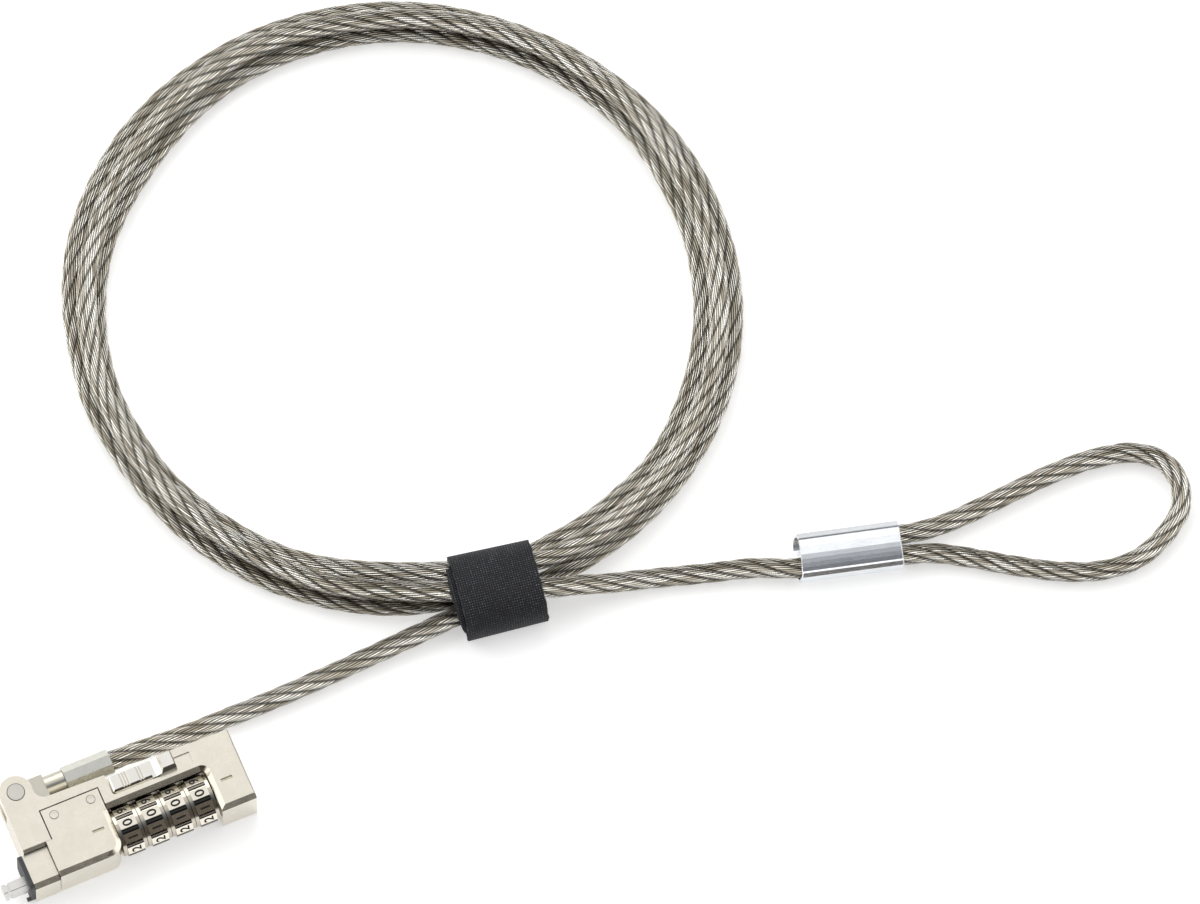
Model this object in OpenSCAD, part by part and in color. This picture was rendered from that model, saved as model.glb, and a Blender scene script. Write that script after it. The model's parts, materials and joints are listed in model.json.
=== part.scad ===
// Laptop cable lock: a four-dial combination lock with a steel rope, coiled and tied.
// The long axis of the lock runs along X, with the slot tip at -X and the dials at the front, -Y.
// The lock stands on z = 0 and the origin is under the middle of its box.

/* [Lock body] */
// Height of the lock body
body_h = 13; // [12:0.5:15]
// Right end of the body, measured from the middle of the lock
body_right = 32.6; // [32:0.1:33.5]
// Depth of the body in front of the middle of the lock
front_y = -13.95; // [-14:0.05:-13.8]
// Width of the bevel along the top edges
bevel = 1.2; // [0.8:0.1:1.3]
// Thickness of the base plate
base_t = 3; // [2.6:0.1:3.2]

/* [Cable pivot] */
// Radius of the round boss that holds the pivot pin
boss_r = 4.15; // [3.9:0.05:4.3]
// Radius of the pivot pin
pin_r = 2.05; // [1.8:0.05:2.2]
// Width across the flats of the cable ferrule
ferrule_w = 6; // [5.8:0.1:6.2]
// Length of the cable ferrule
ferrule_l = 12; // [10:0.5:13]

/* [Dials] */
// Number of dials
dial_count = 4; // [4:1:4]
// Distance from one dial to the next
dial_pitch = 6.3; // [6.2:0.05:6.35]
// Radius of a dial over its number pads
dial_r = 6.2; // [6:0.05:6.3]
// Numbers on each dial
dial_digits = 10; // [10:1:10]

/* [Slide] */
// Travel of the thumb slide
slide_travel = 4; // [3.4:0.1:4]
// Length of the thumb slide
slide_l = 16.5; // [15.5:0.5:16.5]

/* [Slot tip] */
// Length of the tip that enters the security slot
tip_l = 6.1; // [5:0.1:6.5]
// Height of the tip
tip_h = 2.9; // [2.6:0.1:3]

/* [Cable] */
// Diameter of the steel rope
cable_d = 5; // [4.8:0.1:5]
// Radius of the coil at the middle of its turns
coil_r = 75; // [70:1:76]
// Length of the crimp sleeve
sleeve_l = 26; // [22:1:28]
// Width of the hook-and-loop tie, along the cable
tie_w = 20.6; // [16:0.2:24]

/* [Hidden] */
$fn = 48;

// Housing outline
boss = [-20.65, 9.8];
plate_left = boss[0] - boss_r;
plate_front = -5;
back_left = 5.9;
back_right = 4.5;
fillet_r = 2.7;
fillet_dy = back_left + fillet_r - boss[1];
fillet_x = boss[0] + sqrt(pow(boss_r + fillet_r, 2) - pow(fillet_dy, 2));
cover_left = -17.3;
cover_back = 3.2;
cover_right = -2;
foot_left = -18.9;
window_right = 23.6;
window_back = -2.5;
cover_t = 1.5;
shelf_z = 9.4;
rivets = [[-14.35, 0.9], [-4.7, 1.05]];
screws = [[-21, -1.2], [28.6, 1.2], [29.5, -11.6]];
ear_gap = [4, 9];
seam = 0.12;
side_slope = 0.7;
far = 60;

// Dial stack
dial_axis = [-7.75, 6.9];
dial_x0 = -1.85;
dial_w = dial_pitch - 0.15;
trough_r = dial_r + 0.25;
hub_r = 4.3;
spindle_r = 2.5;
bar_r = 1.5;
key_w = 1.3;
fin_r = 3.3;
chamber_r = 3.5;
hub_wall = 1.6;

// Slide
slide_x = 1;
slide_y = [0.05, 4.4];
notch_floor = 9.3;
channel_y = [0.1, 2.8];
channel_top = 7.6;
link_x = [-13.5, 14];
link_z = [5.2, 7.4];
arm_w = 2.5;
arm_top = 8.6;

// Nose and tip
nose_left = -25.4;
nose_top = 10.8;
gasket_t = 1.1;
tip_end = nose_left - gasket_t - tip_l;
tip_z = 4.55;
tip_y = [-11.2, -9];
latch_y = [-12.35, -11.3];

// Cable and the pieces on it
cable_r = cable_d / 2;
axis_y = boss[1] + 0.2;
axis_z = 6.5;
ferrule_x = -7.9;
coil_c = [114.5, 89];
tie_t = 1.1;
coil_z = [tie_t + 0.1, 10.8];
coil_half = 5.6;
sleeve_c = [189.8, -9.9];
sleeve_a = -15;
bore_gap = 5.2;
sleeve_z = 3.45;
tube_sides = 10;

// The route of the cable where it isn't coiled
lead_route = [
    [-4, 10, 6.5], [4, 10, 6.5], [10, 10, 6.1], [17, 10.1, 4.4], [25, 10.2, 2.8], [34, 10.3, 2.5],
    [48, 10.3, 2.5], [62, 10.7, 2.5], [75, 11.3, 2.6], [88, 11.8, 3.2], [97.5, 12.1, 3.7],
    [104, 11.8, 3.7]
];
run_route = [
    [111, 10.6, 8], [120.5, 8.4, 7.3], [133, 5.2, 4.4], [145, 2.3, 2.5], [156, -1.1, 2.5],
    [167, -4.5, 2.9], [176.6, -9, 3.45], [189.1, -12.4, 3.45]
];
eye_route = [
    [189.1, -12.4, 3.45], [201.7, -15.8, 3.45], [209, -18.2, 2.9], [217, -22.8, 2.5],
    [226, -28.8, 2.5], [236, -34.6, 2.5], [245, -38, 2.5], [254, -38.6, 2.5], [262, -35.8, 2.5],
    [268.5, -30.8, 2.5], [270.8, -24.4, 2.5], [269.2, -18, 2.5], [263.6, -13.4, 2.5],
    [254, -11, 2.5], [242, -10.6, 2.5], [229, -11.4, 2.5], [217, -12.1, 2.5],
    [209, -11.8, 2.9], [203, -10.7, 3.45], [190.5, -7.4, 3.45], [179.6, -4.5, 3.45]
];

// ---- helpers ----

// A box from its lowest corner to its highest corner
module span(lo, hi) {
    translate(lo) cube(hi - lo);
}

// A cylinder along X from x0 to x1, through the point [y, z]
module rod_x(x0, x1, r, at) {
    translate([x0, at[0], at[1]]) rotate([0, 90, 0]) cylinder(r = r, h = x1 - x0);
}

// A cylinder along Z from z0 to z1, through the point [x, y]
module rod_z(z0, z1, r, at) {
    translate([at[0], at[1], z0]) cylinder(r = r, h = z1 - z0);
}

// Cuts a bevel of width b off a top edge that runs along X at y, with the body on side dir
module bevel_x(x0, x1, y, z, b, dir) {
    translate([x0, y, z]) rotate([90, 0, 90])
        linear_extrude(x1 - x0)
            polygon([[-dir, 1], [-dir, -b - 1], [0, -b], [dir * b, 0], [dir * (b + 1), 1]]);
}

// Cuts a bevel off a top edge that runs along Y at x, with the body on side dir
module bevel_y(y0, y1, x, z, b, dir) {
    translate([x, y1, z]) rotate([90, 0, 0])
        linear_extrude(y1 - y0)
            polygon([[-dir, 1], [-dir, -b - 1], [0, -b], [dir * b, 0], [dir * (b + 1), 1]]);
}

// Points on a smooth curve through the route: Catmull-Rom, with n steps from point to point
function curve_point(a, b, c, d, t) =
    0.5 * (2 * b + (c - a) * t + (2 * a - 5 * b + 4 * c - d) * t * t
        + (3 * b - a - 3 * c + d) * t * t * t);
function smooth(p, n) = [
    for (i = [0 : len(p) - 2], k = [0 : n - 1])
        curve_point(p[max(i - 1, 0)], p[i], p[i + 1], p[min(i + 2, len(p) - 1)], k / n),
    p[len(p) - 1]
];
function unit(v) = v / norm(v);
function heading(p, i) = unit(p[min(i + 1, len(p) - 1)] - p[max(i - 1, 0)]);

// One closed tube of radius r swept along the points p
module tube(p, r) {
    last = len(p) - 1;
    rings = [
        for (i = [0 : last])
            let (d = heading(p, i), side = unit(cross(d, [0, 0, 1])), up = cross(side, d))
                for (k = [0 : tube_sides - 1])
                    let (a = 360 * k / tube_sides) p[i] + r * (cos(a) * side + sin(a) * up)
    ];
    function corner(i, k) = i * tube_sides + k % tube_sides;
    faces = [
        [for (k = [0 : tube_sides - 1]) corner(0, k)],
        [for (k = [tube_sides - 1 : -1 : 0]) corner(last, k)],
        for (i = [0 : last - 1], k = [0 : tube_sides - 1])
            each [
                [corner(i, k), corner(i + 1, k), corner(i + 1, k + 1)],
                [corner(i, k), corner(i + 1, k + 1), corner(i, k + 1)]
            ]
    ];
    polyhedron(rings, faces);
}

// ---- lock body ----

// The boss, its fillet and the plate beside it, as far as x1
module plate(x1, z0, z1) {
    hollow = [fillet_x, back_left + fillet_r];
    rod_z(z0, z1, boss_r, boss);
    difference() {
        translate([0, 0, z0]) linear_extrude(z1 - z0) polygon([
            [plate_left, plate_front], [plate_left, boss[1]], boss, hollow,
            [fillet_x, back_left], [x1, back_at(x1)], [x1, plate_front]
        ]);
        rod_z(z0 - 1, z1 + 1, fillet_r, hollow);
    }
}

// The back edge of the body runs in a little towards the right end
function back_at(x) =
    back_left + (back_right - back_left) * (x - fillet_x) / (body_right - fillet_x);

// The window for the dials: a rounded, bevelled inner corner over a round trough
// The flatter bevel along each side of the dial window
module low_bevel_y(y0, y1, x, side) {
    translate([x, 0, body_h]) scale([1, 1, side_slope]) bevel_y(y0, y1, 0, 0, bevel, side);
}

// The index mark beside the end dials: a groove with a long back slope
module index_mark(x0, x1) {
    translate([x0, 0, body_h]) rotate([90, 0, 90]) linear_extrude(x1 - x0)
        polygon([[-6.35, 0.1], [-7, -0.46], [-7.25, 0.1]]);
}

module window_space() {
    r = 1;
    c = [window_right - r, window_back - r];
    x0 = cover_right - 0.1;
    span([x0, -far, 0], [c[0], window_back, far]);
    span([x0, -far, 0], [window_right, c[1], far]);
    rod_z(-1, far, r, c);
    rod_x(x0, window_right, trough_r, dial_axis);
    bevel_x(x0, c[0], window_back, body_h, bevel, 1);
    low_bevel_y(-far, c[1], window_right, 1);
    translate([c[0], c[1], body_h - bevel])
        cylinder(r1 = r, r2 = r + bevel + 1, h = bevel + 1);
}

// The space in front of the housing: the window and the cover's corner
module front_space() {
    window_space();
    span([foot_left, -far, 0], [cover_left + 0.1, plate_front + 0.45, far]);
    difference() {
        span([cover_left, -far, 0], [cover_right + 0.05, cover_back, far]);
        // shelf that the cover is riveted to
        span([cover_left + 1.5, -0.4, shelf_z], [cover_right - 1.7, far, body_h - cover_t]);
    }
}

// Notch for the thumb slide, from its rounded front corner to the back edge
module notch(at, x1) {
    r = 0.9;
    span([at[0] + r, at[1], notch_floor], [x1, far, body_h + 1]);
    span([at[0], at[1] + r, notch_floor], [x1, far, body_h + 1]);
    rod_z(notch_floor, body_h + 1, r, [at[0] + r, at[1] + r]);
}

module housing() {
    color([0.80, 0.78, 0.73]) difference() {
        union() {
            plate(body_right, base_t, body_h);
            span([window_right, front_y, base_t], [body_right, 0, body_h]);
        }
        front_space();
        // gap between the two ears, where the cable anchor turns
        span([-far, back_left, ear_gap[0] - 2], [-12, far, ear_gap[1]]);
        rod_z(ear_gap[1] - 1, body_h + 1, pin_r, boss);
        rod_z(body_h - 0.6, body_h + 1, pin_r + 0.15, boss);
        // notch for the thumb slide, and the shallow track that it moves over
        notch([slide_x - 0.3, slide_y[0] - 0.15], slide_x + slide_l + 0.1);
        span([slide_x + slide_l, 0.2, body_h - 0.5],
            [slide_x + slide_l + slide_travel + 0.3, 3, body_h + 1]);
        // channel for the link and its spring, and the slot for the slide's stem
        span([-far / 2 + 14, channel_y[0], base_t - 1], [22, channel_y[1], channel_top]);
        span([4.6, 0.8, channel_top - 1], [13.4, 2.2, notch_floor + 1]);
        // end of the dial spindle, room for the last fin, and the reset screw
        rod_x(window_right - 1, 26.3, chamber_r + 0.1, dial_axis);
        rod_x(26, 28.5, spindle_r, dial_axis);
        rod_x(29.3, body_right + 1, 2.25, dial_axis);
        // bevels of the right end block
        bevel_x(window_right - 1, body_right + 1, front_y, body_h, bevel, 1);
        bevel_x(-far, foot_left, plate_front, body_h, 0.5, 1);
        bevel_y(front_y - 1, far, body_right, body_h, 0.3, -1);
        // index mark beside the last dial
        index_mark(26.1, 29.1);
        for (at = screws) rod_z(base_t - 1, 8, 0.9, at);
        for (at = rivets) rod_z(shelf_z - 1, body_h, 0.7, at);
    }
}

module base_plate() {
    color([0.78, 0.76, 0.71]) difference() {
        union() {
            difference() {
                plate(body_right, 0, base_t);
                span([cover_right - 1.65, -far, -1], [window_right, window_back, far]);
            }
            span([foot_left, front_y + 1.6, 0], [cover_right - 1.65, 1, base_t]);
            span([window_right, front_y, 0], [body_right, 0, base_t]);
            // lower ear, which reaches up to the cable anchor
            intersection() {
                plate(0, 0, ear_gap[0]);
                span([-far, back_left + 0.05, 0], [-12, far, far]);
            }
        }
        rod_z(-1, ear_gap[0] + 1, pin_r, boss);
        rod_z(1.5, base_t + 1, 0.8, [-16, -10.1]);
        for (at = screws) {
            rod_z(-1, base_t + 1, 0.9, at);
            rod_z(-1, 1.3, 1.7, at);
        }
    }
}

module base_screws() {
    color([0.5, 0.5, 0.5]) for (at = screws)
        difference() {
            union() {
                rod_z(0.2, 1.3, 1.65, at);
                rod_z(1.2, 7.6, 0.88, at);
            }
            for (a = [0, 90]) translate([at[0], at[1], 0]) rotate([0, 0, a])
                span([-1, -0.2, -1], [1, 0.2, 0.7]);
        }
}

// Cover plate over the tip mechanism, which also makes the left wall of the dial window
module head_cover() {
    corner = 3;
    left = cover_left + seam;
    color([0.81, 0.79, 0.74]) difference() {
        union() {
            difference() {
                translate([0, 0, 0.5]) linear_extrude(body_h - 0.5) {
                    polygon([
                        [foot_left + seam, front_y], [cover_right - corner, front_y],
                        [cover_right - corner, cover_back - seam], [left, cover_back - seam],
                        [left, plate_front + 0.4], [foot_left + seam, plate_front + 0.4]
                    ]);
                    translate([cover_right - corner - 1, front_y + corner])
                        square([corner + 1, cover_back - seam - front_y - corner]);
                }
                bevel_x(-far, cover_right - corner, front_y, body_h, bevel, 1);
                low_bevel_y(front_y + corner, window_back, cover_right, -1);
            }
            translate([cover_right - corner, front_y + corner, 0]) rotate_extrude() polygon([
                [0, 0.5], [corner, 0.5], [corner, body_h - bevel * side_slope],
                [corner - bevel, body_h],
                [0, body_h]
            ]);
        }
        // room inside for the tip mechanism
        span([foot_left - 1, front_y + cover_t, 0],
            [cover_right - cover_t - 0.1, far, body_h - cover_t]);
        span([cover_right - 3, channel_y[0], -1], [cover_right + 1, far, channel_top]);
        span([cover_right - 3, window_back - 0.1, -1], [cover_right + 1, far, base_t]);
        rod_x(-far, cover_right + 1, spindle_r, dial_axis);
        // index mark beside the first dial
        index_mark(-7.5, -4.5);
        for (at = rivets) {
            rod_z(body_h - cover_t - 1, body_h, 0.7, at);
            rod_z(body_h - 1, body_h + 1, 1.12, at);
        }
    }
}

module cover_rivets() {
    color([0.76, 0.75, 0.72]) for (at = rivets)
        difference() {
            union() {
                rod_z(shelf_z, body_h - 0.9, 0.7, at);
                rod_z(body_h - 1, body_h + 0.1, 1, at);
            }
            rod_z(body_h, body_h + 1, 0.6, at);
        }
}

module lock_head() {
    color([0.79, 0.77, 0.71]) difference() {
        span([nose_left, front_y, 0], [foot_left, plate_front - seam, nose_top]);
        span([nose_left - 1, latch_y[0] - 0.15, tip_z - 0.2],
            [foot_left + 1, tip_y[1] + 0.05, tip_z + tip_h + 0.15]);
        bevel_x(nose_left - 1, foot_left + 1, front_y, nose_top, bevel, 1);
        rod_x(nose_left - 1, nose_left + 2, 0.6, [-13, 1.1]);
    }
}

// Rubber pad that takes the lock against the laptop's case
module nose_gasket() {
    r = 1.2;
    lo = [-13.6, 0.5];
    hi = [-4.7, nose_top + 0.1];
    color([0.23, 0.24, 0.25]) difference() {
        translate([nose_left - gasket_t, 0, 0]) rotate([90, 0, 90]) linear_extrude(gasket_t)
            difference() {
                union() {
                    translate([lo[0] + r, lo[1]]) square([hi[0] - lo[0] - 2 * r, hi[1] - lo[1]]);
                    translate([lo[0], lo[1] + r]) square([hi[0] - lo[0], hi[1] - lo[1] - 2 * r]);
                    for (y = [lo[0] + r, hi[0] - r], z = [lo[1] + r, hi[1] - r])
                        translate([y, z]) circle(r);
                }
                translate([latch_y[0] - 0.15, tip_z - 0.2])
                    square([tip_y[1] + 0.2 - latch_y[0], tip_h + 0.4]);
                translate([-13, 1.1]) circle(0.7);
            }
    }
}

// The flat bar that stays in the security slot, with its groove near the end
module fixed_tip() {
    groove = tip_end + 1.05;
    color([0.72, 0.73, 0.71]) difference() {
        span([tip_end, tip_y[0], tip_z], [-14.2, tip_y[1], tip_z + tip_h]);
        span([groove, -far, tip_z + tip_h - 0.4], [groove + 0.6, far, far]);
        span([groove, tip_y[1] - 0.3, 0], [groove + 0.6, far, far]);
        rod_z(0, far, 0.8, [-16, -10.1]);
    }
}

module tip_pin() {
    color("silver") rod_z(1.6, body_h - cover_t, 0.8, [-16, -10.1]);
}

module locating_pin() {
    color([0.5, 0.5, 0.48]) rod_x(nose_left - gasket_t - 0.9, nose_left + 2, 0.6, [-13, 1.1]);
}

module pivot_pin() {
    color([0.72, 0.71, 0.69]) difference() {
        rod_z(0.3, body_h + 0.15, pin_r, boss);
        rod_z(0, 1, 1.1, boss);
    }
}

// ---- combination ----

// Hollow shaft with a slot along its top, where the fence bar's fins stand out
module dial_spindle() {
    color("silver") difference() {
        rod_x(-4.8, 28.4, spindle_r, dial_axis);
        rod_x(-far, 27.4, bar_r + 0.06, dial_axis);
        span([dial_x0 - 0.1, dial_axis[0] - key_w / 2, dial_axis[1]],
            [26.2, dial_axis[0] + key_w / 2, far]);
    }
}

module spindle_clip() {
    color([0.4, 0.4, 0.42]) difference() {
        rod_x(-4.4, -3.8, 3.5, dial_axis);
        rod_x(-far, far, spindle_r, dial_axis);
        span([-far, dial_axis[0] - 1.2, -far], [far, dial_axis[0] + 1.2, dial_axis[1] - 1]);
    }
}

// Leaf spring under the dials, with one finger for each dial
module detent_spring() {
    color([0.55, 0.55, 0.53]) {
        span([dial_x0, -3.4, 0.3], [dial_x0 + dial_count * dial_pitch - 0.2, window_back, 0.5]);
        for (i = [0 : dial_count - 1])
            translate([dial_x0 + i * dial_pitch, 0, 0]) {
                span([1, -9, 0.3], [5, -3.3, 0.5]);
                span([1.2, dial_axis[0] - 0.3, 0.4], [4.8, dial_axis[0] + 0.3, 0.6]);
            }
    }
}

// A number wheel: a ten-sided middle band between two smooth rims
module dial_wheel(i) {
    step = 360 / dial_digits;
    rim_r = dial_r - 0.45;
    rim_w = 0.9;
    groove = 0.36;
    x0 = dial_x0 + i * dial_pitch;
    color([0.82, 0.80, 0.75]) translate([x0, dial_axis[0], dial_axis[1]]) rotate([0, 90, 0])
        difference() {
            union() {
                cylinder(r = rim_r, h = dial_w);
                translate([0, 0, rim_w]) intersection() {
                    cylinder(r = dial_r, h = dial_w - 2 * rim_w);
                    rotate([0, 0, step / 2])
                        cylinder(r = (dial_r - 0.12) / cos(step / 2), h = 10, $fn = dial_digits);
                }
            }
            translate([0, 0, -1]) cylinder(r = hub_r, h = dial_w + 2);
            // a pair of grip grooves between one number and the next
            for (n = [0 : dial_digits - 1], side = [-1, 1])
                rotate([0, 0, (n + 0.5) * step + side * 4])
                    translate([dial_r - 0.4, -groove / 2, rim_w - 0.5])
                        cube([1, groove, dial_w - 2 * rim_w + 1]);
        }
}

// The code ring inside a dial: a wide chamber, and a wall that lets the fin through at zero
module dial_hub(i) {
    x0 = dial_x0 + i * dial_pitch;
    x1 = x0 + dial_w;
    color([0.78, 0.66, 0.38]) difference() {
        rod_x(x0, x1, hub_r, dial_axis);
        rod_x(x0 - 1, x1 - hub_wall, chamber_r, dial_axis);
        rod_x(x0, x1 + 1, spindle_r + 0.05, dial_axis);
        span([x0, dial_axis[0] - key_w / 2, dial_axis[1]],
            [x1 + 1, dial_axis[0] + key_w / 2, dial_axis[1] + chamber_r]);
    }
}

// Bar inside the spindle, with one fin for each dial
module fence_bar() {
    color([0.7, 0.7, 0.68]) {
        rod_x(link_x[0] + arm_w, 22.4, bar_r, dial_axis);
        rod_x(link_x[0], link_x[0] + arm_w + 0.1, 1, dial_axis);
        for (i = [0 : dial_count - 1])
            translate([dial_x0 + i * dial_pitch + 3.2, dial_axis[0], dial_axis[1]])
                span([0, -0.55, 0], [1, 0.55, fin_r]);
    }
}

// Slotted screw that frees the dials from their code rings, to set a new number
module reset_screw() {
    color("silver") difference() {
        rod_x(29.4, body_right - 0.1, 2.2, dial_axis);
        span([body_right - 0.8, dial_axis[0] - 1.8, dial_axis[1] - 0.3],
            [far, dial_axis[0] + 1.8, dial_axis[1] + 0.3]);
    }
}

// ---- slide and latch ----

// Side view of the thumb slide: two finger flats, two groove pairs, a ramp and a raised end
module slide_profile() {
    flat = body_h + 0.35;
    lip = body_h + 0.15;
    top = body_h + 2.2;
    foot = 12.3;
    ramp = [10.3, 13.3];
    arc = [for (a = [0 : 15 : 60]) [ramp[0] + (ramp[1] - ramp[0]) * sin(a) / sin(60),
        flat + (top - flat) * (1 - cos(a)) / (1 - cos(60))]];
    difference() {
        polygon(concat(
            [[0, notch_floor + 0.2], [foot, notch_floor + 0.2], [foot, lip], [slide_l, lip],
                [slide_l, top - 0.3], [slide_l - 0.3, top]],
            [for (k = [len(arc) - 1 : -1 : 0]) arc[k]],
            [[0.6, flat], [0, flat - 0.6]]
        ));
        for (x = [3.0, 3.7, 4.4, 7.4, 8.1])
            translate([x, flat]) rotate(45) square(0.4, center = true);
    }
}

module thumb_slide() {
    mid = (slide_y[0] + slide_y[1]) / 2;
    end_r = 1.1;
    color([0.86, 0.85, 0.82]) difference() {
        union() {
            intersection() {
                translate([slide_x, slide_y[1], 0]) rotate([90, 0, 0])
                    linear_extrude(slide_y[1] - slide_y[0]) slide_profile();
                linear_extrude(far) {
                    translate([slide_x + end_r, slide_y[0]])
                        square([slide_l - end_r, slide_y[1] - slide_y[0]]);
                    for (y = [slide_y[0] + end_r, slide_y[1] - end_r])
                        translate([slide_x + end_r, y]) circle(end_r);
                    translate([slide_x, slide_y[0] + end_r])
                        square([end_r, slide_y[1] - slide_y[0] - 2 * end_r]);
                }
            }
            // stem through the slot in the notch floor
            span([5, 0.9, link_z[1]], [9, 2.1, notch_floor + 0.5]);
        }
        bevel_x(-far, slide_x + 10.3, slide_y[0], body_h + 0.35, 0.85, 1);
        bevel_x(slide_x + 10.3, far, slide_y[0], body_h + 2.2, 0.9, 1);
        rod_z(0, 9.2, 0.55, [7, 1.5]);
    }
}

module slide_screw() {
    color([0.5, 0.5, 0.5]) {
        rod_z(4.5, link_z[0], 1, [7, 1.5]);
        rod_z(link_z[0] - 0.1, 9, 0.54, [7, 1.5]);
    }
}

// Carries the thumb slide's movement to the latch and to the fence bar
module slide_link() {
    color([0.7, 0.7, 0.68]) difference() {
        union() {
            span([link_x[0], channel_y[0] + 0.2, link_z[0]],
                [link_x[1], channel_y[1] - 0.2, link_z[1]]);
            span([link_x[0], latch_y[0], link_z[0]],
                [link_x[0] + arm_w, channel_y[1] - 0.2, arm_top]);
        }
        rod_x(-far, 0, 1, dial_axis);
        rod_z(0, far, 0.54, [7, 1.5]);
        span([-far, latch_y[0] - 1, link_z[0] + 0.3], [0, latch_y[1] - 0.3, link_z[1] - 0.6]);
    }
}

module tip_latch() {
    groove = tip_end + 1.05;
    color([0.76, 0.76, 0.74]) difference() {
        union() {
            span([tip_end, latch_y[0], tip_z - 0.05], [link_x[0], latch_y[1], tip_z + tip_h - 0.1]);
            span([link_x[0] - 1, latch_y[0], link_z[0] + 0.3],
                [link_x[0] + arm_w, latch_y[1] - 0.3, link_z[1] - 0.6]);
        }
        span([groove, -far, 0], [groove + 0.6, latch_y[0] + 0.3, far]);
    }
}

// Compression spring behind the link, drawn as its solid of turns
module slide_spring() {
    at = [1.45, 6.3];
    coils = 6;
    color([0.6, 0.6, 0.6]) difference() {
        union() {
            rod_x(link_x[1], 22, 0.85, at);
            for (i = [0 : coils]) rod_x(14 + i * 1.25, 14.45 + i * 1.25, 1.15, at);
        }
        rod_x(13, 23, 0.55, at);
    }
}

// ---- cable ----

// Eye round the pivot pin, with the arm and the round neck that hold the ferrule
module cable_anchor() {
    lo = ear_gap[0] + 0.25;
    hi = ear_gap[1] - 0.25;
    color([0.74, 0.74, 0.71]) difference() {
        union() {
            rod_z(lo, hi, 3.6, boss);
            span([boss[0], axis_y - 2.9, lo], [-12.8, axis_y + 2.9, hi]);
            rod_x(-12.9, ferrule_x - 0.1, 2.7, [axis_y, axis_z]);
        }
        rod_z(0, far, pin_r + 0.06, boss);
        rod_x(-11, 0, 1.3, [axis_y, axis_z]);
    }
}

module swivel_stud() {
    color("silver") {
        rod_x(-11, -5.7, 1.3, [axis_y, axis_z]);
        rod_x(-5.75, -4.6, 2.2, [axis_y, axis_z]);
    }
}

// Eight-sided terminal that is pressed on the end of the cable
module cable_ferrule() {
    color([0.77, 0.77, 0.74]) difference() {
        translate([ferrule_x, axis_y, axis_z]) rotate([0, 90, 0]) rotate([0, 0, 30.5])
            cylinder(r = ferrule_w / 2 / cos(22.5), h = ferrule_l, $fn = 8);
        rod_x(ferrule_x - 1, 0, 1.36, [axis_y, axis_z]);
        rod_x(ferrule_x + 2, 10, cable_r + 0.08, [axis_y, axis_z]);
    }
}

module cable_lead() {
    color([0.55, 0.52, 0.46]) tube(smooth(lead_route, 2), cable_r - 0.01);
}

module cable_run() {
    color([0.55, 0.52, 0.46]) tube(smooth(run_route, 2), cable_r - 0.01);
}

module cable_eye() {
    color([0.55, 0.52, 0.46]) tube(smooth(eye_route, 2), cable_r - 0.01);
}

// The three turns of the coil as one ring
module cable_coil() {
    c = 2.4;
    color([0.58, 0.55, 0.49]) translate([coil_c[0], coil_c[1], 0]) rotate_extrude($fn = 96)
        translate([coil_r, 0]) polygon([
            [-coil_half + 0.8, coil_z[0]], [coil_half - 0.8, coil_z[0]],
            [coil_half, coil_z[0] + 1], [coil_half, coil_z[1] - 2 * c], [coil_half - c, coil_z[1]],
            [-coil_half + c, coil_z[1]], [-coil_half, coil_z[1] - 2 * c], [-coil_half, coil_z[0] + 1]
        ]);
}

// Oval sleeve with two bores, pressed over the cable and its return
module crimp_sleeve() {
    r = sleeve_z;
    color([0.83, 0.84, 0.86]) translate([sleeve_c[0], sleeve_c[1], sleeve_z])
        rotate([0, 0, sleeve_a]) rotate([0, 90, 0]) translate([0, 0, -sleeve_l / 2])
            linear_extrude(sleeve_l) difference() {
                union() {
                    for (s = [-1, 1]) translate([0, s * bore_gap / 2]) circle(r);
                    square([2 * r, bore_gap], center = true);
                }
                for (s = [-1, 1]) translate([0, s * bore_gap / 2]) circle(cable_r + 0.05);
            }
}

// Flat hook-and-loop tie, wound round the bundle
module cable_tie() {
    at = [107.8, 14.4];
    depth = 20.4;
    height = 12;
    r = 3;
    color([0.12, 0.12, 0.13]) translate([at[0], at[1], 0]) rotate([0, 0, -8])
        rotate([90, 0, 90]) translate([0, 0, -tie_w / 2]) linear_extrude(tie_w) difference() {
            rounded(depth, height, r);
            translate([0, tie_t]) rounded(depth - 2 * tie_t, height - 2 * tie_t, r - tie_t);
        }
}

// A rectangle of width w and height h that stands on the axis, with corners of radius r
module rounded(w, h, r) {
    translate([-w / 2 + r, 0]) square([w - 2 * r, h]);
    translate([-w / 2, r]) square([w, h - 2 * r]);
    for (x = [-w / 2 + r, w / 2 - r], z = [r, h - r]) translate([x, z]) circle(r);
}

housing();
base_plate();
base_screws();
head_cover();
cover_rivets();
lock_head();
nose_gasket();
fixed_tip();
tip_pin();
locating_pin();
pivot_pin();
dial_spindle();
spindle_clip();
detent_spring();
slide_spring();
thumb_slide();
slide_screw();
slide_link();
fence_bar();
tip_latch();
dial_wheel(0);  // dial_1
dial_wheel(1);  // dial_2
dial_wheel(2);  // dial_3
dial_wheel(3);  // dial_4
dial_hub(0);  // dial_hub_1
dial_hub(1);  // dial_hub_2
dial_hub(2);  // dial_hub_3
dial_hub(3);  // dial_hub_4
reset_screw();
cable_anchor();
swivel_stud();
cable_ferrule();
cable_lead();
cable_coil();
cable_run();
cable_eye();
crimp_sleeve();
cable_tie();
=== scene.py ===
import json
import math

import bpy
from mathutils import Matrix, Vector


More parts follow.
